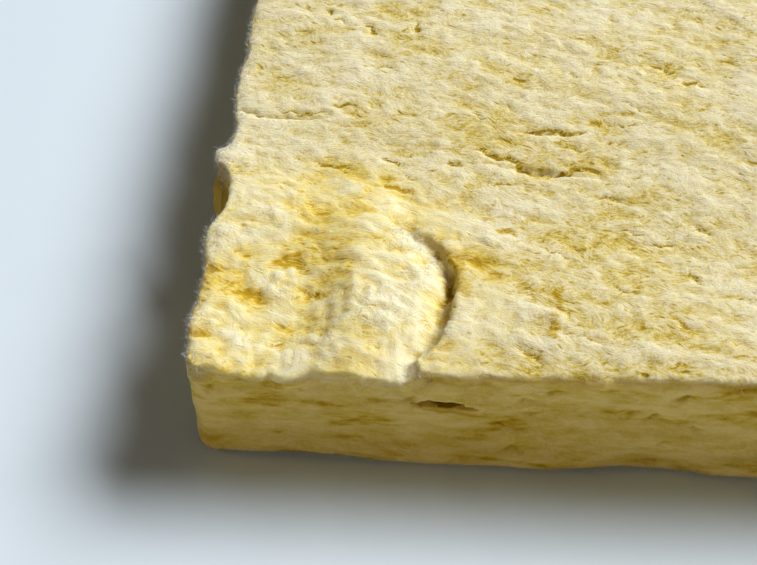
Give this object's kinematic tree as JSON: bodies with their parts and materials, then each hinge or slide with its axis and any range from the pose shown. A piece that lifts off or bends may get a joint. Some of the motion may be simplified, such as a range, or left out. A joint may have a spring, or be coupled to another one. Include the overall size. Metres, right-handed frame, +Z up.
{
  "type": "glass wool insulation panel",
  "caption": "Semi-rigid slab of yellow glass wool for lining walls, floors and roofs, with a torn corner.",
  "frame": {"origin": "middle of the underside, on the surface that the panel lies on", "axes": "+X across the panel, +Y along its length, +Z up through its thickness"},
  "size_m": [0.6, 1.2, 0.05],
  "materials": {
    "glass_wool": "loose bonded glass fibre, cream yellow, matt, with ochre binder in the hollows"
  },
  "bodies": {
    "root": {"glass_wool_panel": "glass_wool"}
  },
  "joints": []
}
